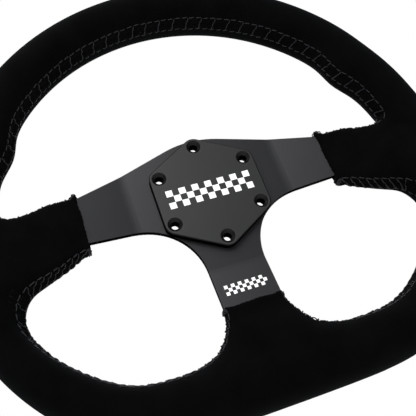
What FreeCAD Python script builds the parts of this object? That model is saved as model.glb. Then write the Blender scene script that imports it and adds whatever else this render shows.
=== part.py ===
import FreeCAD, Part
import math
import os

# Three-spoke racing steering wheel with a flat bottom, all sizes in millimetres.
# X runs to the driver's right, Z to twelve o'clock and Y along the steering axis, away from the driver.
# The origin is the centre of the bolt circle on the back face of the spoke frame.

V = FreeCAD.Vector

# driving dimensions: centre plate and bolt pattern
bolt_circle_radius = 35.0
bolt_count = 6
bolt_hole_radius = 2.75
countersink_radius = 5.0
plate_thickness = 5.0
plate_apothem = 37.2
plate_corner_radius = 8.0
plate_edge_chamfer = 0.6

# driving dimensions: spoke frame, one pressed plate
frame_thickness = 4.0
crown_radius = 66.0            # top edge of the hub
crown_height = 42.5
shoulder_angle = 17.2          # fall of the side spokes' top edge, degrees
crotch_radius = 40.0           # between a side spoke and the bottom spoke
spoke_lower_edge = -14.0
bottom_spoke_half = 19.2
spoke_root_half = 13.5         # half width of the side spokes inside the grip
bend_start = 54.0              # flat hub inside this distance
bend_end = 107.0               # flat again outside this distance
dish = 8.0                     # how far the spoke ends stand towards the driver
bend_radius = 35.0

# driving dimensions: grip
grip_outer_radius = 171.0
grip_inner_radius = 136.8
grip_half_depth = 18.4
grip_forward = 2.0             # the grip's middle stands this much nearer the driver than the spoke ends
flat_outer = 147.5             # flat bottom, measured down from the centre
flat_inner = 111.5
outer_corner_power = 22.0      # larger is a sharper corner on the flat bottom
inner_corner_power = 26.0
thumb_rest_angle = 27.0
thumb_rest_height = 4.7
thumb_rest_width = 6.3
palm_hollow_angle = -25.0
palm_hollow_depth = 10.5
palm_hollow_width = 22.0
palm_swell = 3.5               # the outer edge swells where the inner edge is hollowed
suede_thickness = 1.2
section_step = 9.0             # degrees between the grip's lofted sections
thread_step = 3.0              # degrees between the thread's sections

# driving dimensions: hoop, rivets and thread inside and on the grip
hoop_half_width = 7.0
hoop_thickness = 3.0
rivet_radius = 2.5
rivet_head_radius = 4.5
rivet_head_height = 1.6
rivet_spacing = 14.0
spoke_overlap = 3.5            # how far a spoke's end passes the middle of the hoop
rivet_setback = 2.0            # rivets stand inside the middle of the hoop
thread_radius = 0.5
fit_gap = 0.05                 # between a pad and the grip, and under the thread

frame_back = 0.0
frame_front = frame_back - frame_thickness
plate_front = frame_front - plate_thickness
rim_back = frame_back - dish
rim_front = frame_front - dish
grip_middle = (rim_back + rim_front) / 2 - grip_forward
hoop_inset = (grip_outer_radius - grip_inner_radius) / 2
side_spoke_reach = grip_outer_radius - hoop_inset + spoke_overlap
bottom_spoke_reach = flat_outer - hoop_inset + spoke_overlap
far = 400.0


def point(x, z, y=0.0):
    return V(x, y, z)


def polar(radius, degrees, y=0.0):
    angle = math.radians(degrees)
    return V(radius * math.cos(angle), y, radius * math.sin(angle))


def bolt_angles():
    return [90 + i * 360 / bolt_count for i in range(bolt_count)]


def prism(wire, y_low, y_high):
    """Solid between two planes across the steering axis, from a closed wire drawn at Y = 0."""
    face = Part.Face(wire)
    face.translate(V(0, y_low, 0))
    return face.extrude(V(0, y_high - y_low, 0))


def rod(radius, start, length):
    """Cylinder along the steering axis; a negative length runs towards the driver."""
    return Part.makeCylinder(radius, abs(length), start, V(0, math.copysign(1, length), 0))


def drilled(solid, radius, y_low, y_high):
    """Through holes on the bolt circle."""
    for angle in bolt_angles():
        solid = solid.cut(rod(radius, polar(bolt_circle_radius, angle, y_low), y_high - y_low))
    return solid


# ---- centre plate: a hexagon whose rounded corners hold the six countersunk holes

def rounded_hexagon():
    """Hexagon with corners at the bolt angles; each corner is an arc tangent to its two sides."""
    setback = (plate_apothem - plate_corner_radius) / math.cos(math.radians(30))
    edges = []
    for i in range(bolt_count):
        corner = 90 + i * 60
        centre = polar(setback, corner)
        start = centre + polar(plate_corner_radius, corner - 30)
        middle = centre + polar(plate_corner_radius, corner)
        end = centre + polar(plate_corner_radius, corner + 30)
        next_start = polar(setback, corner + 60) + polar(plate_corner_radius, corner + 30)
        edges.append(Part.Arc(start, middle, end).toShape())
        edges.append(Part.LineSegment(end, next_start).toShape())
    return Part.Wire(edges)


def centre_plate():
    plate = prism(rounded_hexagon(), plate_front, frame_front)
    rim_edges = [e for e in plate.Edges if abs(e.BoundBox.YMax - plate_front) < 1e-6]
    plate = plate.makeChamfer(plate_edge_chamfer, rim_edges)
    plate = drilled(plate, bolt_hole_radius, plate_front - 1, frame_front + 1)
    sink_depth = countersink_radius - bolt_hole_radius
    for angle in bolt_angles():
        seat = polar(bolt_circle_radius, angle, plate_front)
        plate = plate.cut(Part.makeCone(countersink_radius, bolt_hole_radius, sink_depth, seat, V(0, 1, 0)))
    return plate


# ---- spoke frame: hub, two side spokes and a bottom spoke cut from one plate and dished

def frame_outline():
    """Right half of the outline from the crown down to the bottom spoke, then its mirror image."""
    slope = math.radians(shoulder_angle)
    crown_centre = crown_height - crown_radius
    shoulder = point(crown_radius * math.sin(slope), crown_centre + crown_radius * math.cos(slope))
    half = slope / 2
    crown_middle = point(crown_radius * math.sin(half), crown_centre + crown_radius * math.cos(half))
    root_x = shoulder.x + (shoulder.z - spoke_root_half) / math.tan(slope)
    crotch = point(bottom_spoke_half + crotch_radius, spoke_lower_edge - crotch_radius)
    crotch_middle = crotch + polar(crotch_radius, 135)
    top = point(0, crown_height)
    bottom = -bottom_spoke_reach
    right = [
        Part.Arc(top, crown_middle, shoulder),
        Part.LineSegment(shoulder, point(root_x, spoke_root_half)),
        Part.LineSegment(point(root_x, spoke_root_half), point(side_spoke_reach, spoke_root_half)),
        Part.LineSegment(point(side_spoke_reach, spoke_root_half), point(side_spoke_reach, spoke_lower_edge)),
        Part.LineSegment(point(side_spoke_reach, spoke_lower_edge), point(crotch.x, spoke_lower_edge)),
        Part.Arc(point(crotch.x, spoke_lower_edge), crotch_middle, point(bottom_spoke_half, crotch.z)),
        Part.LineSegment(point(bottom_spoke_half, crotch.z), point(bottom_spoke_half, bottom)),
        Part.LineSegment(point(bottom_spoke_half, bottom), point(0, bottom)),
    ]
    right_edges = [curve.toShape() for curve in right]
    left_edges = [edge.mirror(V(0, 0, 0), V(1, 0, 0)) for edge in right_edges]
    return Part.Wire(Part.__sortEdges__(right_edges + left_edges))


def bent_arm(length, half_span):
    """Flat hub, ramp and flat end in the XY plane for x > 0, spread half_span each way along Z."""
    bends = [(0, frame_front), (bend_start, frame_front), (bend_end, rim_front), (length, rim_front)]
    front = [V(x, y, 0) for x, y in bends]
    back = [p + V(0, frame_thickness, 0) for p in reversed(front)]
    wire = Part.makePolygon(front + back + [front[0]])
    arm = Part.Face(wire).extrude(V(0, 0, 2 * half_span))
    arm.translate(V(0, 0, -half_span))
    creases = [e for e in arm.Edges if e.BoundBox.XLength < 1e-6 and e.BoundBox.ZLength > half_span
             and 1 < e.BoundBox.XMin < length - 1]
    return arm.makeFillet(bend_radius, creases)


def dished_sheet():
    """The unbounded dished plate that the outline is cut from."""
    arm = bent_arm(far, far)
    hub_box = Part.makeBox(2 * far, far, far, V(-far, -far / 2, -bend_start + 1))
    sides = arm.fuse(arm.mirror(V(0, 0, 0), V(1, 0, 0))).common(hub_box)
    down = arm.copy()
    down.rotate(V(0, 0, 0), V(0, 1, 0), 90)
    lower_box = Part.makeBox(2 * bend_start, far, far, V(-bend_start, -far / 2, -far - bend_start + 1))
    return sides.fuse(down.common(lower_box)).removeSplitter()


def spoke_frame():
    blank = prism(frame_outline(), frame_front - 3 * dish, frame_back + dish)
    frame = blank.common(dished_sheet()).removeSplitter()
    frame = drilled(frame, bolt_hole_radius, frame_front - 1, frame_back + 1)
    return riveted(frame)


# ---- grip: every section is an ellipse in a plane through the steering axis

def soft_flat(radius, flat, power, degrees):
    """Distance from the centre to a circle with a flat bottom, its corners rounded by a power mean."""
    drop = max(-math.sin(math.radians(degrees)), 1e-6)
    return (radius ** -power + (flat / drop) ** -power) ** (-1 / power)


def bump(degrees, centre, width):
    """Bell shape of height one over the angle from the horizontal, the same on both sides."""
    elevation = math.degrees(math.asin(math.sin(math.radians(degrees))))
    return math.exp(-((elevation - centre) / width) ** 2)


def plain_outer_edge(degrees):
    return soft_flat(grip_outer_radius, flat_outer, outer_corner_power, degrees)


def outer_edge(degrees):
    return plain_outer_edge(degrees) + palm_swell * bump(degrees, palm_hollow_angle, palm_hollow_width)


def inner_edge(degrees):
    plain = soft_flat(grip_inner_radius, flat_inner, inner_corner_power, degrees)
    rest = thumb_rest_height * bump(degrees, thumb_rest_angle, thumb_rest_width)
    hollow = palm_hollow_depth * bump(degrees, palm_hollow_angle, palm_hollow_width)
    return plain - rest + hollow


def ellipse_wire(degrees, centre, half_width, half_depth):
    """Ellipse across the grip: a round spline stretched along the radius and along the steering axis."""
    outward = polar(1, degrees)
    middle = outward * centre + V(0, grip_middle, 0)
    curve = Part.Circle(V(0, 0, 0), V(0, 0, 1), 1).toBSpline()
    for i, pole in enumerate(curve.getPoles(), 1):
        curve.setPole(i, middle + outward * (pole.x * half_width) + V(0, pole.y * half_depth, 0))
    return Part.Wire(curve.toShape())


def angles_between(start, end, step=section_step):
    count = max(2, round(abs(end - start) / step))
    return [start + (end - start) * i / count for i in range(count + 1)]


def grip_arc(start, end, inset):
    """Length of the grip between two angles, with its surface moved inwards by inset."""
    wires = []
    for degrees in angles_between(start, end):
        outer = outer_edge(degrees) - inset
        inner = inner_edge(degrees) + inset
        wires.append(ellipse_wire(degrees, (outer + inner) / 2, (outer - inner) / 2, grip_half_depth - inset))
    return Part.makeLoft(wires, True, False)


def hoop_radius(degrees):
    """The hoop ignores the palm swell, so it keeps a steady distance from the plain outline."""
    return plain_outer_edge(degrees) - hoop_inset


def hoop_section(degrees):
    """Rectangle behind the spoke ends, its long side along the radius."""
    low = hoop_radius(degrees) - hoop_half_width
    high = hoop_radius(degrees) + hoop_half_width
    back = rim_back + hoop_thickness
    corners = [(low, rim_back), (high, rim_back), (high, back), (low, back), (low, rim_back)]
    return Part.makePolygon([polar(radius, degrees, y) for radius, y in corners])


def rim_hoop():
    """Flat hoop all round the grip, lofted in two halves that meet at twelve and six o'clock."""
    halves = []
    for start in (-90, 90):
        wires = [hoop_section(a) for a in angles_between(start, start + 180)]
        halves.append(Part.makeLoft(wires, True, True))
    return riveted(halves[0].fuse(halves[1]).removeSplitter())


def spoke_rivets(name):
    """Two rivets across a spoke's end, where it overlaps the hoop."""
    side = spokes[name]
    radius = hoop_radius(side) - rivet_setback
    across = polar(rivet_spacing / 2, side + 90)
    return [polar(radius, side) - across, polar(radius, side) + across]


def rivet_places():
    return [place for name in spokes for place in spoke_rivets(name)]


def riveted(solid):
    """Rivet holes through a solid."""
    for place in rivet_places():
        solid = solid.cut(rod(rivet_radius, place + V(0, -2 * dish, 0), 3 * dish))
    return solid.Solids[0]


def rivet_group(name):
    """Shank through spoke and hoop with a head on each face."""
    shank_length = frame_thickness + hoop_thickness
    rivets = []
    for place in spoke_rivets(name):
        front = place + V(0, rim_front, 0)
        back = front + V(0, shank_length, 0)
        front_head = rod(rivet_head_radius, front, -rivet_head_height)
        back_head = rod(rivet_head_radius, back, rivet_head_height)
        rivets.append(rod(rivet_radius, front, shank_length).fuse([front_head, back_head]).removeSplitter())
    return Part.makeCompound(rivets)


# ---- pads: the padded roots of the spokes, lofted across the spoke and cut where the grip begins

spokes = {"right": 0, "left": 180, "bottom": 270}

# distance along the spoke, edge on one side, edge on the other, half thickness
side_pad = [
    (86.0, 21.3, -19.0, 5.0),
    (92.0, 19.6, -22.0, 5.7),
    (104.0, 17.9, -28.7, 8.1),
    (117.0, 14.8, -34.3, 10.5),
    (128.0, 14.9, -43.0, 12.4),
    (140.0, 22.0, -56.0, 13.0),
]
bottom_pad = [
    (80.0, 18.7, -18.7, 5.0),
    (86.0, 20.5, -20.5, 6.0),
    (93.0, 23.0, -23.0, 8.4),
    (101.0, 27.1, -27.1, 11.5),
    (109.0, 36.7, -36.7, 13.5),
    (117.0, 50.0, -50.0, 14.0),
]


def sheet_middle(distance):
    """Middle of the dished plate at a distance along a spoke."""
    travel = min(max((distance - bend_start) / (bend_end - bend_start), 0), 1)
    return (frame_front + frame_back) / 2 - dish * travel


def pad_section(distance, high, low, half, inset):
    """Rounded rectangle across a spoke that runs along X."""
    high, low, half = high - inset, low + inset, half - inset
    middle = sheet_middle(distance)
    corner = 0.8 * half
    near = corner * (1 - math.sqrt(0.5))
    corners = [(middle - half, high, 1, -1), (middle + half, high, -1, -1),
               (middle + half, low, -1, 1), (middle - half, low, 1, 1)]
    arcs = []
    for i, (y, z, y_in, z_in) in enumerate(corners):
        along_y = V(distance, y + y_in * corner, z)
        along_z = V(distance, y, z + z_in * corner)
        ends = [along_z, along_y] if i % 2 == 0 else [along_y, along_z]
        arcs.append((ends[0], V(distance, y + y_in * near, z + z_in * near), ends[1]))
    edges = []
    for i, (start, knee, end) in enumerate(arcs):
        edges.append(Part.Arc(start, knee, end).toShape())
        edges.append(Part.LineSegment(end, arcs[(i + 1) % len(arcs)][0]).toShape())
    return Part.Wire(edges)


def pad_blank(name, inset):
    """Whole pad at its place, reaching into the grip."""
    rows = bottom_pad if name == "bottom" else side_pad
    wires = [pad_section(x, high, low, half, inset) for x, high, low, half in rows]
    pad = Part.makeLoft(wires, True, False)
    if name == "bottom":
        pad.rotate(V(0, 0, 0), V(0, 1, 0), 90)
    return pad


# angles that each length of grip, and the thread along its inner edge, run between
grip_spans = {"upper": (0, 180), "lower_right": (-90, 0)}
thread_spans = {"upper": (16, 164), "lower_right": (-69, -24)}
seat_spans = {"right": (-37.5, 37.5), "bottom": (-90, -52.5)}


def biggest(shape):
    return max(shape.Solids, key=lambda solid: solid.Volume)


def covered(core, skin, inner_parts, frame):
    """Foam with the metal's room cut out of it, and the suede that is left round it."""
    return biggest(core.cut(inner_parts)), biggest(skin.cut([core, frame]))


def stitching(name):
    """Closing thread along the inner edge of the grip, just proud of the suede."""
    wires = []
    for degrees in angles_between(*thread_spans[name], thread_step):
        middle = inner_edge(degrees) - thread_radius - fit_gap
        wires.append(ellipse_wire(degrees, middle, thread_radius, thread_radius))
    return Part.makeLoft(wires, True, True)


def mirrored(shape):
    return shape.mirror(V(0, 0, 0), V(1, 0, 0))


def grip_seat(name):
    """The stretch of grip that a pad runs into, a hair larger all round."""
    seat = grip_arc(*seat_spans[name], -fit_gap)
    return [seat, mirrored(seat)] if name == "bottom" else [seat]


def build():
    pieces = {"centre_plate": centre_plate(), "spoke_frame": spoke_frame(), "rim_hoop": rim_hoop()}
    frame = pieces["spoke_frame"]
    for name in spokes:
        pieces["rivets_" + name] = rivet_group(name)
    inner_parts = [pieces[name] for name in pieces if name != "centre_plate"]
    for name, span in grip_spans.items():
        core, skin = grip_arc(*span, suede_thickness), grip_arc(*span, 0)
        pieces["foam_" + name], pieces["suede_" + name] = covered(core, skin, inner_parts, frame)
        pieces["stitching_" + name] = stitching(name)
    for name in seat_spans:
        seat = grip_seat(name)
        core, skin = pad_blank(name, suede_thickness).cut(seat), pad_blank(name, 0).cut(seat)
        foam, suede = covered(core, skin, inner_parts, frame)
        pieces["foam_pad_" + name], pieces["suede_pad_" + name] = foam, suede
    for name in [name for name in pieces if name.endswith("right") and not name.startswith("rivets")]:
        pieces[name.replace("right", "left")] = mirrored(pieces[name])
    return pieces


os.makedirs("parts", exist_ok=True)
for node, shape in build().items():
    shape.exportStep("parts/" + node + ".step")
    box = shape.BoundBox
    limits = [round(v, 1) for v in (box.XMin, box.XMax, box.YMin, box.YMax, box.ZMin, box.ZMax)]
    volume = round(shape.Volume / 1000, 2)
    print(node, len(shape.Solids), "solids, valid:", shape.isValid(), volume, "cm3", limits)
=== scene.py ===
import bpy
import math
import numpy as np
from mathutils import Matrix, Vector


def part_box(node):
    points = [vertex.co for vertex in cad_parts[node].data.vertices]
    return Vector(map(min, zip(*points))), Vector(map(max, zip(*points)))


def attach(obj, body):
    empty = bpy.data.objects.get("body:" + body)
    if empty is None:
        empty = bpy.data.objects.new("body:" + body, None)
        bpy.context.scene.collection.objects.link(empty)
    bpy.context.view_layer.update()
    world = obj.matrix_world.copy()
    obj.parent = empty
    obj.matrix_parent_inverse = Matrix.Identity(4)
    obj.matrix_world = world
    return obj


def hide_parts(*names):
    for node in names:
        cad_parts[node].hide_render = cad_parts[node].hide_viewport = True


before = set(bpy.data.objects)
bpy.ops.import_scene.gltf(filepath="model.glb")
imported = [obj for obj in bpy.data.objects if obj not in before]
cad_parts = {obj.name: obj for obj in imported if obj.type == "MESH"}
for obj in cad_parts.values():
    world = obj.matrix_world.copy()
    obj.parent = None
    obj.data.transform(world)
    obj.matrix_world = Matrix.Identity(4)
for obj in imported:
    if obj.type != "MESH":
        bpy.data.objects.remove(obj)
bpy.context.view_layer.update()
mm = 0.001


def hexColour(code):
    # sRGB hex to linear RGBA
    parts = np.array([int(code[i:i + 2], 16) / 255 for i in (1, 3, 5)])
    linear = np.where(parts <= 0.04045, parts / 12.92, ((parts + 0.055) / 1.055) ** 2.4)
    return (*linear.tolist(), 1.0)


def addNode(tree, kind, settings=None, inputs=None, links=None):
    # one node: settings are its own fields, inputs are socket values, links are sockets that feed it
    node = tree.nodes.new(kind)
    for field, value in (settings or {}).items():
        setattr(node, field, value)
    for socket, value in (inputs or {}).items():
        node.inputs[socket].default_value = value
    for socket, source in (links or {}).items():
        tree.links.new(source, node.inputs[socket])
    return node


def newMaterial(name):
    mat = bpy.data.materials.new(name)
    mat.use_nodes = True
    mat.node_tree.nodes.clear()
    return mat, mat.node_tree


def meshFromArrays(name, points, quads, smooth=True):
    # points in millimetres, quads as rows of four indices; the object stays at the origin
    mesh = bpy.data.meshes.new(name)
    points = np.asarray(points, dtype=np.float64).reshape(-1, 3) * mm
    quads = np.asarray(quads, dtype=np.int32).reshape(-1, 4)
    mesh.vertices.add(len(points))
    mesh.vertices.foreach_set("co", points.ravel())
    mesh.loops.add(quads.size)
    mesh.loops.foreach_set("vertex_index", quads.ravel())
    mesh.polygons.add(len(quads))
    mesh.polygons.foreach_set("loop_start", np.arange(0, quads.size, 4, dtype=np.int32))
    mesh.polygons.foreach_set("loop_total", np.full(len(quads), 4, dtype=np.int32))
    mesh.polygons.foreach_set("use_smooth", np.full(len(quads), smooth))
    mesh.update(calc_edges=True)
    mesh.validate()
    piece = bpy.data.objects.new(name, mesh)
    bpy.context.collection.objects.link(piece)
    return piece


def gridQuads(rows, columns, closeRows=False, closeColumns=False):
    # quads of a rows x columns grid of points, optionally joined round either way
    i = np.arange(rows if closeRows else rows - 1)[:, None]
    j = np.arange(columns if closeColumns else columns - 1)[None, :]
    low, high = i * columns, (i + 1) % rows * columns
    jNext = (j + 1) % columns
    return np.stack([low + j, low + jNext, high + jNext, high + j], -1).reshape(-1, 4)


def unit(vectors):
    # the same directions at length 1
    return vectors / np.maximum(np.linalg.norm(vectors, axis=-1, keepdims=True), 1e-9)


def boxMm(node):
    # a node's lowest and highest corners in millimetres
    low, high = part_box(node)
    return np.array(low) / mm, np.array(high) / mm


upperLow, upperHigh = boxMm("suede_upper")
flatBottom = boxMm("suede_lower_right")[0][2]
plateFront = boxMm("centre_plate")[0][1]
hoopLow, hoopHigh = boxMm("rim_hoop")

# the grip's shape, in millimetres and degrees, driven by the frame's boxes
grip = {
    "outerRadius": upperHigh[2],
    "innerRadius": 136.8,
    "middleY": (upperLow[1] + upperHigh[1]) / 2,
    "halfDepth": (upperHigh[1] - upperLow[1]) / 2,
    "flatOuter": -flatBottom,
    "flatInner": 111.5,
    "outerCornerPower": 22.0,
    "innerCornerPower": 26.0,
    "thumbRest": (27.0, 4.7, 6.3),       # elevation, height, width in degrees
    "palmHollow": (-25.0, 10.5, 22.0),
    "palmSwell": 3.5,                    # the outer edge swells where the inner edge is hollowed
    "bendStart": 54.0,
    "bendEnd": 107.0,
    "dish": 8.0,
    "frameThickness": 4.0,
    "padBlend": 32.0,                    # long fillet where a pad runs into the grip
    "notchBlend": 4.5,                   # tighter fillet above the side spokes
    "notchFade": 10.0,                   # height over which one fillet turns into the other
    "blendEase": 0.75,                   # the fillets shrink by this share at the grip's front and back
    "padCrown": 0.1,                     # a pad is thinner at its edges by this share
    "padCorner": 0.9,                    # corner radius as a share of the half thickness
    "endRound": 1.6,                     # folded suede edge at the spoke
    "endWave": 0.3,                      # the fold wanders by this much
    "seamForward": 5.2,                  # the seam drifts this far towards the driver on the rim
    "seamStart": 20.0,                   # distance from a pad's end where the drift begins
    "seamTravel": 45.0,                  # and how long it takes
    "hoopInset": 17.1,                   # middle of the hoop inside the plain outer edge
    "hoopHalfWidth": 7.0,
    "hoopCover": 0.7,                    # meant as suede over the hoop; at the palms a short slit is left
    "hoopBlend": 3.0,
    "nubRadius": 2.6,                    # rolled corner where a seam runs out at a spoke
    "nubSquash": 0.8,
    "nubBlend": 3.0,
    "seamDepth": 0.9,
    "seamWidth": 1.5,
    "seamFade": 6.0,                     # groove and gathers fade over this, to none at the grip's middle
    "pucker": 0.28,                      # gathers pulled up by the lace either side of the seam
    "puckerPitch": 5.2,
    "puckerReach": 4.5,
    "voxel": 1.3,
    "quickVoxel": 2.2,
    "ringSteps": 360,
    "sectionSteps": 48,
    "padSteps": 60,
    "padTurns": 64,
    "padSquareness": 0.45,
}

# distance along the spoke, upper edge, lower edge, half thickness
sidePad = np.array([
    (86.0, 21.3, -19.0, 5.0),
    (92.0, 19.6, -22.0, 5.7),
    (104.0, 18.0, -28.5, 8.0),
    (117.0, 15.0, -33.5, 10.4),
    (130.0, 15.0, -36.0, 12.0),
    (146.0, 26.0, -45.0, 11.0),
])
bottomPad = np.array([
    (80.0, 18.9, -18.9, 5.0),
    (86.0, 20.3, -20.3, 5.8),
    (93.0, 21.4, -21.4, 7.6),
    (101.0, 22.5, -22.5, 10.0),
    (109.0, 24.0, -24.0, 12.0),
    (118.0, 32.0, -32.0, 11.0),
])


def elevationBump(angle, centre, width):
    # bell curve over the angle from the horizontal, alike on both sides
    elevation = np.degrees(np.arcsin(np.sin(angle)))
    return np.exp(-((elevation - centre) / width) ** 2)


def softFlat(radius, flat, power, angle):
    # power mean of a circle and a flat bottom: radius^-p plus (flat / sine)^-p, to the power -1/p
    drop = np.maximum(-np.sin(angle), 1e-6)
    return (radius ** -power + (flat / drop) ** -power) ** (-1 / power)


def outerEdge(angle):
    # circle with a soft flat bottom, plus a bell-shaped swell at the palms
    palmAt, _, palmWidth = grip["palmHollow"]
    plain = softFlat(grip["outerRadius"], grip["flatOuter"], grip["outerCornerPower"], angle)
    return plain + grip["palmSwell"] * elevationBump(angle, palmAt, palmWidth)


def innerEdge(angle):
    # the same kind of outline, less a bell-shaped thumb rest, plus a bell-shaped palm hollow
    restAt, restHeight, restWidth = grip["thumbRest"]
    palmAt, palmDepth, palmWidth = grip["palmHollow"]
    plain = softFlat(grip["innerRadius"], grip["flatInner"], grip["innerCornerPower"], angle)
    rest = restHeight * elevationBump(angle, restAt, restWidth)
    return plain - rest + palmDepth * elevationBump(angle, palmAt, palmWidth)


def sheetMiddle(distance):
    # middle of the dished plate: flat, then a straight ramp, then flat
    travel = np.clip((distance - grip["bendStart"]) / (grip["bendEnd"] - grip["bendStart"]), 0, 1)
    return -grip["frameThickness"] / 2 - grip["dish"] * travel


def smoothRows(rows, at):
    # cubic Hermite curve through the rows' values, with central-difference slopes
    x, y = rows[:, 0], rows[:, 1:]
    slopes = np.gradient(y, x, axis=0)
    at = np.clip(at, x[0], x[-1])
    k = np.clip(np.searchsorted(x, at, side="right") - 1, 0, len(x) - 2)
    width = (x[k + 1] - x[k])[:, None]
    t = ((at - x[k])[:, None]) / width
    return ((2 * t ** 3 - 3 * t ** 2 + 1) * y[k] + (t ** 3 - 2 * t ** 2 + t) * width * slopes[k]
            + (3 * t ** 2 - 2 * t ** 3) * y[k + 1] + (t ** 3 - t ** 2) * width * slopes[k + 1])


def smoothMin(a, b, k):
    # the lower of two fields, lowered by k/4 times the square of how nearly they are equal
    overlap = np.maximum(k - np.abs(a - b), 0) / k
    return np.minimum(a, b) - overlap ** 2 * k / 4


def ringField(p):
    # about the distance to the grip: an ellipse across each plane through the steering axis
    angle = np.arctan2(p[:, 2], p[:, 0])
    outer, inner = outerEdge(angle), innerEdge(angle)
    half = (outer - inner) / 2
    u = (np.hypot(p[:, 0], p[:, 2]) - (outer + inner) / 2) / half
    v = (p[:, 1] - grip["middleY"]) / grip["halfDepth"]
    q = np.maximum(np.hypot(u, v), 1e-6)
    slope = np.sqrt((u / half) ** 2 + (v / grip["halfDepth"]) ** 2) / q
    return (q - 1) / np.maximum(slope, 1e-6)


def padField(along, across, y, rows):
    # about the distance to a pad: a rounded, slightly crowned rectangle across the spoke, rounded at its end,
    # where the sum of two sine waves makes the fold wander
    high, low, half = smoothRows(rows, along).T
    centre, reach = (high + low) / 2, (high - low) / 2
    offset = across - centre
    crown = np.cos(np.clip(offset / reach, -1, 1) * math.pi / 2)
    half = half * (1 - grip["padCrown"] + grip["padCrown"] * crown)
    corner = half * grip["padCorner"]
    dAcross = np.abs(offset) - (reach - corner)
    dDepth = np.abs(y - sheetMiddle(along)) - (half - corner)
    outside = np.hypot(np.maximum(dAcross, 0), np.maximum(dDepth, 0))
    section = outside + np.minimum(np.maximum(dAcross, dDepth), 0) - corner
    wave = grip["endWave"] * (np.sin(across / 4.3 + y / 4) + 0.5 * np.sin(across / 2.1 + 2))
    ends = np.maximum(rows[0, 0] + wave - along, along - rows[-1, 0])
    return -smoothMin(-section, -ends, grip["endRound"] * 2)


def hoopField(p):
    # distance to the hoop's rectangular section, less the suede meant to cover it
    angle = np.arctan2(p[:, 2], p[:, 0])
    plain = softFlat(grip["outerRadius"], grip["flatOuter"], grip["outerCornerPower"], angle)
    across = np.abs(np.hypot(p[:, 0], p[:, 2]) - plain + grip["hoopInset"]) - grip["hoopHalfWidth"]
    depth = np.abs(p[:, 1] - (hoopLow[1] + hoopHigh[1]) / 2) - (hoopHigh[1] - hoopLow[1]) / 2
    outside = np.hypot(np.maximum(across, 0), np.maximum(depth, 0))
    return outside + np.minimum(np.maximum(across, depth), 0) - grip["hoopCover"]


# across and up from the centre, the same on both sides
seamEnds = ((88.0, 20.2), (88.0, -18.6), (18.2, -82.0))


def plainField(p):
    # the grip joined to its three pads by fillets
    x, y, z = p.T
    above = np.clip(z / grip["notchFade"] + 0.5, 0, 1)
    flatter = 1 - grip["blendEase"] * np.clip((y - grip["middleY"]) / grip["halfDepth"], -1, 1) ** 2
    blend = grip["padBlend"] + (grip["notchBlend"] - grip["padBlend"]) * above
    field = smoothMin(ringField(p), padField(np.abs(x), z, y, sidePad), blend * flatter)
    field = smoothMin(field, padField(-z, x, y, bottomPad), grip["padBlend"] * flatter)
    field = smoothMin(field, hoopField(p), grip["hoopBlend"])
    for cx, cz in seamEnds:
        depth = grip["nubSquash"] * (y - sheetMiddle(np.hypot(cx, cz)))
        away = np.sqrt((np.abs(x) - cx) ** 2 + depth ** 2 + (z - cz) ** 2)
        field = smoothMin(field, away - grip["nubRadius"], grip["nubBlend"])
    return field


padEnds = np.array([(sidePad[0, 0], 0), (-sidePad[0, 0], 0), (0, -bottomPad[0, 0])])


def seamLevel(x, z):
    # the seam starts on the middle of the plate's thickness and drifts towards the driver on the rim
    fromEnd = np.min(np.hypot(x[:, None] - padEnds[:, 0], z[:, None] - padEnds[:, 1]), axis=1)
    travel = np.clip((fromEnd - grip["seamStart"]) / grip["seamTravel"], 0, 1)
    base = sheetMiddle(np.hypot(x, z))
    return base + (grip["middleY"] - grip["seamForward"] - base) * travel


def seamHeight(p):
    # distance behind the seam's plane, along the steering axis
    return p[:, 1] - seamLevel(p[:, 0], p[:, 2])


def coverField(p):
    # a groove follows the seam on the sides that face the openings, with sine-wave gathers beside it
    angle, radius = np.arctan2(p[:, 2], p[:, 0]), np.hypot(p[:, 0], p[:, 2])
    middle = (outerEdge(angle) + innerEdge(angle)) / 2
    inside = np.clip((middle - radius) / grip["seamFade"], 0, 1)
    height = seamHeight(p)
    groove = grip["seamDepth"] * np.exp(-(height / grip["seamWidth"]) ** 2)
    wave = np.sin(2 * math.pi * (grip["innerRadius"] * angle + radius) / grip["puckerPitch"])
    gather = grip["pucker"] * wave * np.exp(-(height / grip["puckerReach"]) ** 4)
    return plainField(p) + (groove + gather) * inside


def fieldNormal(field, p, step=0.05):
    # unit gradient of a field by central differences
    shifts = np.eye(3) * step
    return unit(np.stack([field(p + s) - field(p - s) for s in shifts], -1))


def ontoField(field, p, rounds=4, flat=False, step=0.05, longest=3.0):
    # Newton steps along the gradient, none much over the longest, bring every point onto the surface;
    # flat keeps Y as it is
    for _ in range(rounds):
        shifts = np.eye(3) * step
        gradient = np.stack([(field(p + s) - field(p - s)) / (2 * step) for s in shifts], -1)
        if flat:
            gradient[:, 1] = 0
        size = np.maximum((gradient ** 2).sum(-1), 0.05)
        p = p - np.clip(field(p) / size, -longest, longest)[:, None] * gradient
    return p


def ringGrid():
    # ellipses carried all the way round the outline
    rings, sides = grip["ringSteps"], grip["sectionSteps"]
    angle = np.linspace(0, 2 * math.pi, rings, endpoint=False)[:, None]
    turn = np.linspace(0, 2 * math.pi, sides, endpoint=False)[None, :]
    outer, inner = outerEdge(angle), innerEdge(angle)
    radius = (outer + inner) / 2 + (outer - inner) / 2 * np.cos(turn)
    y = np.broadcast_to(grip["middleY"] + grip["halfDepth"] * np.sin(turn), radius.shape)
    points = np.stack([radius * np.cos(angle), y, radius * np.sin(angle)], -1)
    return points.reshape(-1, 3), gridQuads(rings, sides, True, True)


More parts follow.
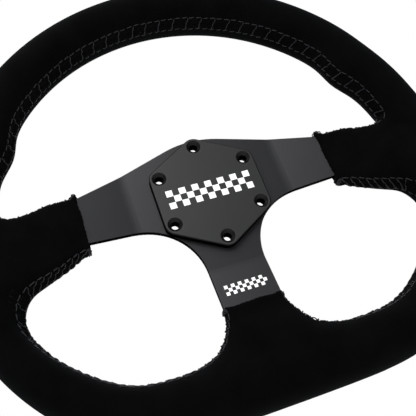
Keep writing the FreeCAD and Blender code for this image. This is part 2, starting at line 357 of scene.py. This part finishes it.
def padGrid(rows, place):
    # superellipses along the spoke; the first and last are drawn in to a point, which closes the ends
    count, sides = grip["padSteps"], grip["padTurns"]
    along = np.linspace(rows[0, 0] + 0.5, rows[-1, 0], count)[np.r_[0, 0:count, count - 1]]
    high, low, half = smoothRows(rows, along).T
    turn = np.linspace(0, 2 * math.pi, sides, endpoint=False)
    c = np.sign(np.cos(turn)) * np.abs(np.cos(turn)) ** grip["padSquareness"]
    s = np.sign(np.sin(turn)) * np.abs(np.sin(turn)) ** grip["padSquareness"]
    shrink = np.ones(count + 2)
    shrink[[0, -1]] = 0
    across = ((high + low) / 2)[:, None] + ((high - low) / 2 * shrink)[:, None] * c
    depth = sheetMiddle(along)[:, None] + (half * shrink)[:, None] * s
    points = place(np.broadcast_to(along[:, None], across.shape), across, depth)
    return points.reshape(-1, 3), gridQuads(count + 2, sides, False, True)


def buildCover():
    # the grids overlap; remeshed to even quads of one skin, then drawn onto the smooth field
    parts = [ringGrid(),
             padGrid(sidePad, lambda a, t, y: np.stack([a, y, t], -1)),
             padGrid(sidePad, lambda a, t, y: np.stack([-a, y, t], -1)),
             padGrid(bottomPad, lambda a, t, y: np.stack([t, y, -a], -1))]
    offsets = np.cumsum([0] + [len(p) for p, q in parts[:-1]])
    points = np.concatenate([p for p, q in parts])
    quads = np.concatenate([q + o for (p, q), o in zip(parts, offsets)])
    rough = meshFromArrays("gripCover", points, quads)
    remesh = rough.modifiers.new("evenQuads", "REMESH")
    remesh.mode = "VOXEL"
    remesh.voxel_size = grip["voxel"] * mm
    remesh.use_smooth_shade = True
    soften = rough.modifiers.new("soften", "SMOOTH")
    soften.factor, soften.iterations = 0.5, 6
    applied = bpy.data.meshes.new_from_object(rough.evaluated_get(bpy.context.evaluated_depsgraph_get()))
    rough.modifiers.clear()
    old = rough.data
    rough.data = applied
    bpy.data.meshes.remove(old)
    co = np.empty(len(applied.vertices) * 3)
    applied.vertices.foreach_get("co", co)
    co = ontoField(coverField, co.reshape(-1, 3) / mm, 6)
    applied.vertices.foreach_set("co", (co * mm).ravel())
    applied.update()
    print("cover:", len(applied.vertices), "vertices")
    return rough


# the lacing, in millimetres
lacing = {
    "anchorPitch": 5.2,
    "anchorLength": 4.3,
    "anchorGap": 0.4,        # from the start of its pitch to the stitch
    "anchorArch": 1.35,      # how far a stitch bows out, in thread radii
    "anchorSink": 0.8,       # how far its ends sink into the suede, in thread radii
    "anchorStep": 0.55,      # each anchor stitch slants a little across its row
    "anchorWander": 0.18,
    "rowOffset": 4.6,        # anchor rows either side of the seam
    "threadRadius": 0.37,
    "rungEvery": 2,
    "rungWander": 0.25,
    "rungLean": (5.0, -1.0), # the lace leans along the seam, more at the start than at the end
    "rungSink": 0.12,
    "seamDip": (0.35, 0.12), # the lace dips into the seam: depth, and width as a share of its run
    "padStretch": 44.0,      # on the pads, at each end, every stitch is laced
    "padLean": 8.5,
    "whipTurns": 3,          # turns of whipping at each end of the seam
    "whipStart": 1.2,
    "whipPitch": 1.3,
    "whipSlant": 0.5,
    "whipExtra": 0.6,        # how far they reach past the anchor rows
    "whipSink": 0.7,         # in thread radii
    "endMargin": 4.0,
    "pathStarts": (86.0, 81.0),         # where the outline leaves the suede's end, side and bottom spokes
    "upperTurn": (133.0, 13.0),         # where it leaves a pad, in mm, and joins the grip, in degrees
    "lowerSideTurn": (127.0, -22.0),
    "lowerBottomTurn": (107.0, -66.0),
    "smoothRounds": 6,
    "smoothWindow": 9,       # points in the running mean that evens out the seam
    "stripHalf": 9.0,        # surface table either side of the seam, and its steps
    "stripSteps": 18,
    "pathPoints": 900,
    "seed": 7,
}


def padEdge(rows, place, edge, start, stop, count=60):
    # one edge of a pad, read from its rows
    along = np.linspace(start, stop, count)
    across = smoothRows(rows, along)[:, edge]
    return place(along, across)


def ringEdge(start, stop, count=400):
    # the grip's inner edge between two angles in degrees
    angle = np.radians(np.linspace(start, stop, count))
    radius = innerEdge(angle)
    return np.stack([radius * np.cos(angle), radius * np.sin(angle)], -1)


def openingGuess(name):
    # rough outline of an opening's padded edge, from one spoke's suede end to the other's
    mirror = np.array([-1, 1])
    sideStart, bottomStart = lacing["pathStarts"]
    if name == "upper":
        padStop, ringStart = lacing["upperTurn"]
        right = padEdge(sidePad, lambda a, t: np.stack([a, t], -1), 0, sideStart, padStop)
        return np.concatenate([right, ringEdge(ringStart, 180 - ringStart), right[::-1] * mirror])
    sideStop, ringStart = lacing["lowerSideTurn"]
    bottomStop, ringStop = lacing["lowerBottomTurn"]
    side = padEdge(sidePad, lambda a, t: np.stack([a, t], -1), 1, sideStart, sideStop)
    bottom = padEdge(bottomPad, lambda a, t: np.stack([t, -a], -1), 0, bottomStart, bottomStop)
    path = np.concatenate([side, ringEdge(ringStart, ringStop, 160), bottom[::-1]])
    return path if name == "lower_right" else path * mirror


def resample(path, count):
    # points at even arc length along a path, and its length
    length = np.r_[0, np.cumsum(np.linalg.norm(np.diff(path, axis=0), axis=1))]
    at = np.linspace(0, length[-1], count)
    return np.stack([np.interp(at, length, path[:, k]) for k in range(path.shape[1])], -1), length[-1]


def seamPath(name):
    # the guess is drawn onto the surface in the seam's plane, then evened out
    flat = openingGuess(name)
    window, ends = lacing["smoothWindow"], lacing["smoothWindow"] // 2
    kernel = np.ones(window) / window
    for _ in range(lacing["smoothRounds"]):
        points = np.stack([flat[:, 0], seamLevel(flat[:, 0], flat[:, 1]), flat[:, 1]], -1)
        points = ontoField(plainField, points, 3, flat=True)
        flat, _ = resample(points[:, [0, 2]], lacing["pathPoints"])
        padded = np.concatenate([np.repeat(flat[:1], ends, 0), flat, np.repeat(flat[-1:], ends, 0)])
        smooth = np.stack([np.convolve(padded[:, k], kernel, "valid") for k in (0, 1)], -1)
        flat = np.concatenate([flat[:ends], smooth[ends:-ends], flat[-ends:]])
    points = np.stack([flat[:, 0], seamLevel(flat[:, 0], flat[:, 1]), flat[:, 1]], -1)
    points = ontoField(plainField, points, 4, flat=True)
    return resample(points, lacing["pathPoints"])


def seamStrip(name):
    # table of surface points: rows along the seam, columns across it, stepped out over the surface
    halfWidth, steps = lacing["stripHalf"], lacing["stripSteps"]
    line, length = seamPath(name)
    columns = {0: line}
    step = halfWidth / steps
    for sign in (-1, 1):
        p = line
        heading = np.tile([0.0, float(sign), 0.0], (len(line), 1))
        for k in range(1, steps + 1):
            normal = fieldNormal(plainField, p)
            heading = unit(heading - normal * (heading * normal).sum(-1, keepdims=True))
            p = ontoField(plainField, p + heading * step, 2)
            columns[sign * k] = p
    table = np.stack([columns[k] for k in range(-steps, steps + 1)], 1)
    flat = table.reshape(-1, 3)
    normals = fieldNormal(coverField, flat).reshape(table.shape)
    grooved = ontoField(coverField, flat, 3).reshape(table.shape)
    return {"points": grooved, "normals": normals, "length": length, "halfWidth": halfWidth}


def onStrip(strip, s, v, height):
    # bilinear look-up of the strip at arc length s and distance v, raised along the normal
    s, v, height = np.broadcast_arrays(s, v, height)
    points, normals = strip["points"], strip["normals"]
    rows, columns = points.shape[:2]
    fi = np.clip(s / strip["length"], 0, 1) * (rows - 1)
    fj = np.clip(v / strip["halfWidth"] / 2 + 0.5, 0, 1) * (columns - 1)
    i, j = np.minimum(fi.astype(int), rows - 2), np.minimum(fj.astype(int), columns - 2)
    a, b = (fi - i)[..., None], (fj - j)[..., None]

    def between(grid):
        here = (1 - b) * grid[i, j] + b * grid[i, j + 1]
        onward = (1 - b) * grid[i + 1, j] + b * grid[i + 1, j + 1]
        return (1 - a) * here + a * onward

    normal = unit(between(normals))
    return between(points) + normal * height[..., None], normal


def tubes(centres, normals, radius, sides=6, endTaper=0.35):
    # round threads: centres is pieces x points x 3; each ring is drawn across the thread's own direction
    # their ends are left open, at or under the suede's surface
    direction = unit(np.gradient(centres, axis=1))
    side = unit(np.cross(direction, normals))
    up = np.cross(side, direction)
    turn = np.linspace(0, 2 * math.pi, sides, endpoint=False)
    taper = np.ones(centres.shape[1])
    taper[[0, -1]] = endTaper
    cosine, sine = np.cos(turn)[None, None, :, None], np.sin(turn)[None, None, :, None]
    ring = radius * taper[None, :, None, None] * (side[:, :, None] * cosine + up[:, :, None] * sine)
    points = centres[:, :, None] + ring
    pieces, count = centres.shape[:2]
    quads = gridQuads(count, sides, False, True)
    quads = np.concatenate([quads + k * count * sides for k in range(pieces)])
    return points.reshape(-1, 3), quads


def anchorRows(strip, starts, dice):
    # dashes in a row either side of the seam, each bowed by half a sine wave
    along = np.linspace(0, 1, 7)[None, :]
    height = lacing["threadRadius"] * (lacing["anchorArch"] * np.sin(math.pi * along) - lacing["anchorSink"])
    rows = []
    for side in (-1, 1):
        wander = dice.normal(0, lacing["anchorWander"], (len(starts), 2))
        s = starts[:, None] + lacing["anchorGap"] + wander[:, :1] + lacing["anchorLength"] * along
        v = side * lacing["rowOffset"] + wander[:, 1:] + lacing["anchorStep"] * (along - 0.5)
        rows.append(onStrip(strip, s, v, height))
    return rows


def rungs(strip, starts, dice, cross):
    # straight runs across the seam that lean along it, with a bell-shaped dip in the middle
    onPad = np.minimum(starts, strip["length"] - starts) < lacing["padStretch"]
    laced = starts[onPad | (np.arange(len(starts)) % lacing["rungEvery"] == 0)]
    at = laced + dice.normal(0, lacing["rungWander"], len(laced))
    first, last = lacing["rungLean"]
    lean = first + (last - first) * at / strip["length"]
    lean = np.where(at < lacing["padStretch"], lacing["padLean"], lean)[:, None]
    dipDepth, dipWidth = lacing["seamDip"]
    dip = dipDepth * np.exp(-((cross - 0.5) / dipWidth) ** 2)
    rise = np.minimum(1, 6 * np.minimum(cross, 1 - cross))
    height = lacing["threadRadius"] * rise - dip - lacing["rungSink"]
    return onStrip(strip, at[:, None] + lean * cross, lacing["rowOffset"] * (2 * cross - 1), height)


def whipping(strip, cross):
    # the lace is whipped round the corner where the seam runs out, at both ends
    turns = lacing["whipStart"] + lacing["whipPitch"] * np.arange(lacing["whipTurns"])
    at = np.concatenate([turns, strip["length"] - turns])
    s = at[:, None] + lacing["whipSlant"] * (cross - 0.5)
    v = (lacing["rowOffset"] + lacing["whipExtra"]) * (2 * cross - 1)
    rise = np.minimum(1, 8 * np.minimum(cross, 1 - cross))
    return onStrip(strip, s, v, lacing["threadRadius"] * (rise - lacing["whipSink"]))


def buildLacing(name, strip):
    # anchor stitches in two rows, a lace that crosses the seam, and whipping at both ends
    dice = np.random.default_rng(lacing["seed"])
    usable = strip["length"] - 2 * lacing["endMargin"]
    count = int(usable // lacing["anchorPitch"])
    starts = lacing["endMargin"] + np.arange(count) * (usable / count)
    cross = np.linspace(0, 1, 15)[None, :]
    batches = anchorRows(strip, starts, dice)
    batches += [rungs(strip, starts, dice, cross), whipping(strip, cross)]
    points, quads, total = [], [], 0
    for centres, normals in batches:
        tubePoints, tubeQuads = tubes(centres, normals, lacing["threadRadius"])
        points.append(tubePoints)
        quads.append(tubeQuads + total)
        total += len(tubePoints)
    print("lacing", name, round(strip["length"]), "mm,", count, "anchors a side")
    return meshFromArrays("lacing_" + name, np.concatenate(points), np.concatenate(quads))


# printed bands, in millimetres
mark = {
    "film": 0.06,            # how far the print stands out of the metal, and reaches into it
    "sink": 0.02,
    "plate": {"centre": (0.0, 0.3), "cells": (13, 3), "size": 4.55},
    "spoke": {"centre": (0.0, -69.3), "cells": (12, 3), "size": 2.35},
}


def buildMark(name, layout):
    # alternate squares of a band, each a thin flat box standing on the metal
    across, down = layout["cells"]
    i, j = np.meshgrid(np.arange(across), np.arange(down), indexing="ij")
    keep = (i + j) % 2 == 0
    size = layout["size"]
    x = layout["centre"][0] + (i[keep] - (across - 1) / 2) * size
    z = layout["centre"][1] + (j[keep] - (down - 1) / 2) * size
    corner = np.array([(-1, -1), (1, -1), (1, 1), (-1, 1)]) * size / 2
    px, pz = x[:, None] + corner[:, 0], z[:, None] + corner[:, 1]
    if name == "plate":
        base = np.full(px.shape, plateFront)
    else:
        base = sheetMiddle(-pz) - grip["frameThickness"] / 2
    top = np.stack([px, base - mark["film"], pz], -1)
    bottom = np.stack([px, base + mark["sink"], pz], -1)
    points = np.concatenate([bottom, top], 1)
    cell = np.array([(4, 5, 6, 7), (3, 2, 1, 0), (0, 1, 5, 4), (1, 2, 6, 5), (2, 3, 7, 6), (3, 0, 4, 7)])
    quads = (np.arange(len(x))[:, None, None] * 8 + cell).reshape(-1, 4)
    print("band", name, len(x), "squares")
    return meshFromArrays("chequer_" + name, points, quads, smooth=False)


def anodisedAluminium(name, base, roughness):
    # black anodised aluminium, bead blasted: dark soft reflections with a fine even grain
    # the grain is 0.35 mm, coarser than real blasting, so that it shows; cut and countersunk walls get
    # painted shade: their base colour is darkened, down to a tenth, to stand for the dark reflections they
    # show
    mat, tree = newMaterial(name)
    where = addNode(tree, "ShaderNodeTexCoord")
    grain = addNode(tree, "ShaderNodeTexNoise", links={"Vector": where.outputs["Object"]},
                    inputs={"Scale": 1 / (0.35 * mm), "Detail": 3.0, "Roughness": 0.6})
    cloud = addNode(tree, "ShaderNodeTexNoise", links={"Vector": where.outputs["Object"]},
                    inputs={"Scale": 1 / (30 * mm), "Detail": 4.0, "Roughness": 0.5})
    tone = addNode(tree, "ShaderNodeMix", {"data_type": "RGBA"},
                   {"A": hexColour(base[0]), "B": hexColour(base[1])}, {"Factor": cloud.outputs["Fac"]})
    rough = addNode(tree, "ShaderNodeMapRange", links={"Value": grain.outputs["Fac"]},
                    inputs={"To Min": roughness - 0.05, "To Max": roughness + 0.05})
    rounded = addNode(tree, "ShaderNodeBevel", {"samples": 6}, {"Radius": 0.5 * mm})
    bump = addNode(tree, "ShaderNodeBump", inputs={"Strength": 0.12, "Distance": 0.05 * mm},
                   links={"Height": grain.outputs["Fac"], "Normal": rounded.outputs["Normal"]})
    facing = addNode(tree, "ShaderNodeNewGeometry")
    split = addNode(tree, "ShaderNodeSeparateXYZ", links={"Vector": facing.outputs["True Normal"]})
    flat = addNode(tree, "ShaderNodeMath", {"operation": "ABSOLUTE"}, links={0: split.outputs["Y"]})
    # painted shade: faces turned away from the steering axis (cut edges and countersink cones) get a darker
    # base colour in place of dark reflections
    paintedWallShade = addNode(tree, "ShaderNodeMapRange", links={"Value": flat.outputs["Value"]},
                   inputs={"From Min": 0.6, "From Max": 0.95, "To Min": 0.1, "To Max": 1.0})
    shade = addNode(tree, "ShaderNodeVectorMath", {"operation": "SCALE"},
                    links={0: tone.outputs["Result"], "Scale": paintedWallShade.outputs["Result"]})
    shader = addNode(tree, "ShaderNodeBsdfPrincipled",
                     inputs={"Metallic": 1.0, "Specular Tint": (0.25, 0.26, 0.3, 1)},
                     links={"Base Color": shade.outputs["Vector"], "Roughness": rough.outputs["Result"],
                            "Normal": bump.outputs["Normal"]})
    addNode(tree, "ShaderNodeOutputMaterial", links={"Surface": shader.outputs["BSDF"]})
    return mat


def nappedSuede():
    # black split-hide suede, buffed: no gloss, a short nap that clouds in patches
    # of about 22 mm and glows faintly at grazing angles; the nap is drawn at 0.5 mm, coarser than
    # the real one, so that it shows
    mat, tree = newMaterial("suede black buffed")
    where = addNode(tree, "ShaderNodeTexCoord")
    nap = addNode(tree, "ShaderNodeTexNoise", links={"Vector": where.outputs["Object"]},
                  inputs={"Scale": 1 / (0.5 * mm), "Detail": 4.0, "Roughness": 0.7})
    patch = addNode(tree, "ShaderNodeTexNoise", links={"Vector": where.outputs["Object"]},
                    inputs={"Scale": 1 / (22 * mm), "Detail": 5.0, "Roughness": 0.6})
    mixed = addNode(tree, "ShaderNodeMath", {"operation": "MULTIPLY"},
                    links={0: nap.outputs["Fac"], 1: patch.outputs["Fac"]})
    tone = addNode(tree, "ShaderNodeValToRGB", links={"Fac": mixed.outputs["Value"]})
    tone.color_ramp.elements[0].position, tone.color_ramp.elements[0].color = 0.1, hexColour("#020202")
    tone.color_ramp.elements[1].position, tone.color_ramp.elements[1].color = 0.5, hexColour("#080809")
    bump = addNode(tree, "ShaderNodeBump", inputs={"Strength": 0.5, "Distance": 0.25 * mm},
                   links={"Height": nap.outputs["Fac"]})
    shader = addNode(tree, "ShaderNodeBsdfPrincipled",
                     inputs={"Roughness": 0.95, "Specular IOR Level": 0.02, "Sheen Weight": 0.01,
                             "Sheen Roughness": 0.45, "Sheen Tint": hexColour("#c8dce6")},
                     links={"Base Color": tone.outputs["Color"], "Normal": bump.outputs["Normal"]})
    addNode(tree, "ShaderNodeOutputMaterial", links={"Surface": shader.outputs["BSDF"]})
    return mat


def bondedThread():
    # bonded nylon thread: a little gloss on dark grey, mottled at 0.4 mm, about the spacing of its twist
    mat, tree = newMaterial("nylon thread bonded")
    where = addNode(tree, "ShaderNodeTexCoord")
    twist = addNode(tree, "ShaderNodeTexNoise", inputs={"Scale": 1 / (0.4 * mm), "Detail": 2.0},
                    links={"Vector": where.outputs["Object"]})
    tone = addNode(tree, "ShaderNodeMix", {"data_type": "RGBA"},
                   {"A": hexColour("#0c0c0f"), "B": hexColour("#1b1b21")}, {"Factor": twist.outputs["Fac"]})
    shader = addNode(tree, "ShaderNodeBsdfPrincipled", inputs={"Roughness": 0.6, "Specular IOR Level": 0.25},
                     links={"Base Color": tone.outputs["Result"]})
    addNode(tree, "ShaderNodeOutputMaterial", links={"Surface": shader.outputs["BSDF"]})
    return mat


def plainFinish(name, colour, metallic, roughness):
    # plain finish with a roughness mottle of 2 mm, for print, the floor and pieces inside the cover
    mat, tree = newMaterial(name)
    where = addNode(tree, "ShaderNodeTexCoord")
    mottle = addNode(tree, "ShaderNodeTexNoise", inputs={"Scale": 1 / (2 * mm), "Detail": 3.0},
                     links={"Vector": where.outputs["Object"]})
    rough = addNode(tree, "ShaderNodeMapRange", links={"Value": mottle.outputs["Fac"]},
                    inputs={"To Min": roughness - 0.06, "To Max": roughness + 0.06})
    shader = addNode(tree, "ShaderNodeBsdfPrincipled", links={"Roughness": rough.outputs["Result"]},
                     inputs={"Base Color": hexColour(colour), "Metallic": metallic})
    addNode(tree, "ShaderNodeOutputMaterial", links={"Surface": shader.outputs["BSDF"]})
    return mat


def setMaterial(piece, mat):
    piece.data.materials.clear()
    piece.data.materials.append(mat)


studio = {
    # place in metres, side of the square in metres, power in watts
    "lights": {
        "key": ((-0.5, -1.1, 1.0), 1.4, 32),
        "fill": ((1.3, -0.6, 0.5), 0.8, 3),
        "back": ((0.2, 1.1, 0.9), 1.0, 10),
    },
    "ambient": ((0.75, 0.85, 1.0, 1), 0.16),
    "skylight": (1.6, 1.2),             # strength and softness of the even light from above
    "floorHalf": 4000,                  # millimetres
    "floorLevel": -300,
}


def buildStudio():
    world = bpy.data.worlds.new("studio")
    bpy.context.scene.world = world
    world.use_nodes = True
    tree = world.node_tree
    tree.nodes.clear()
    path = addNode(tree, "ShaderNodeLightPath")
    ambient = addNode(tree, "ShaderNodeBackground",
                      inputs={"Color": studio["ambient"][0], "Strength": studio["ambient"][1]})
    backdrop = addNode(tree, "ShaderNodeBackground", inputs={"Color": (1, 1, 1, 1), "Strength": 1.0})
    mix = addNode(tree, "ShaderNodeMixShader",
                  links={0: path.outputs["Is Camera Ray"], 1: ambient.outputs[0], 2: backdrop.outputs[0]})
    addNode(tree, "ShaderNodeOutputWorld", links={"Surface": mix.outputs[0]})
    for name, (place, size, power) in studio["lights"].items():
        light = bpy.data.lights.new(name, "AREA")
        light.shape, light.size, light.energy = "SQUARE", size, power
        lamp = bpy.data.objects.new(name, light)
        bpy.context.collection.objects.link(lamp)
        lamp.location = place
        lamp.rotation_mode = "QUATERNION"
        lamp.rotation_quaternion = (-Vector(place)).to_track_quat("-Z", "Y")
    sky = bpy.data.lights.new("skylight", "SUN")
    sky.energy, sky.angle = studio["skylight"]
    bpy.context.collection.objects.link(bpy.data.objects.new("skylight", sky))
    far, level = studio["floorHalf"], studio["floorLevel"]
    corners = [(-far, -far, level), (far, -far, level), (far, far, level), (-far, far, level)]
    floor = meshFromArrays("floor", corners, [(0, 1, 2, 3)])
    setMaterial(floor, plainFinish("studio floor painted", "#f4f4f2", 0.0, 0.8))
    print("studio: floor and", len(studio["lights"]) + 1, "lights")


# place in metres, two directions, lens in millimetres on a 36 mm sensor
view = {
    "place": (-0.0977, -0.3782, -0.1751),
    "forward": (0.2217, 0.8924, 0.3931),
    "up": (0.2600, -0.4427, 0.8582),
    "lens": 54.25,
}


def buildCamera():
    data = bpy.data.cameras.new("camera")
    data.sensor_width, data.lens = 36.0, view["lens"]
    data.clip_start = 0.01
    camera = bpy.data.objects.new("camera", data)
    bpy.context.collection.objects.link(camera)
    back, up = -Vector(view["forward"]).normalized(), Vector(view["up"])
    right = up.cross(back).normalized()
    up = back.cross(right)
    camera.matrix_world = Matrix.Translation(view["place"]) @ Matrix((right, up, back)).transposed().to_4x4()
    bpy.context.scene.camera = camera
    print("camera:", view["lens"], "mm")


buildCamera()
buildStudio()
bpy.context.scene.view_settings.view_transform = "Standard"

plateMetal = anodisedAluminium("aluminium anodised bead blasted plate", ("#3a3a3a", "#3e3e3e"), 0.5)
frameMetal = anodisedAluminium("aluminium anodised bead blasted frame", ("#363637", "#3b3b3c"), 0.46)
suede = nappedSuede()
thread = bondedThread()
finishes = {
    "centre_plate": plateMetal,
    "spoke_frame": frameMetal,
    "rim_hoop": plainFinish("steel strip rolled", "#8c8c8c", 1.0, 0.5),
    "rivets": plainFinish("aluminium rivet turned", "#b8b8ba", 1.0, 0.35),
    "foam": suede,
    "suede": suede,
    "stitching": thread,
}
for node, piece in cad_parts.items():
    setMaterial(piece, next(finishes[key] for key in finishes if node.startswith(key)))
print("finishes on", len(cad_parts), "CAD nodes")

cover = buildCover()
setMaterial(cover, suede)
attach(cover, "root")
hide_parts(*[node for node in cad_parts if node.startswith(("suede", "foam"))])

for opening in ("upper", "lower_left", "lower_right"):
    laces = buildLacing(opening, seamStrip(opening))
    setMaterial(laces, thread)
    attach(laces, "root")
    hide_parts("stitching_" + opening)

whitePrint = plainFinish("screen print white", "#eeeeee", 0.0, 0.6)
for name in ("plate", "spoke"):
    band = buildMark(name, mark[name])
    setMaterial(band, whitePrint)
    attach(band, "root")
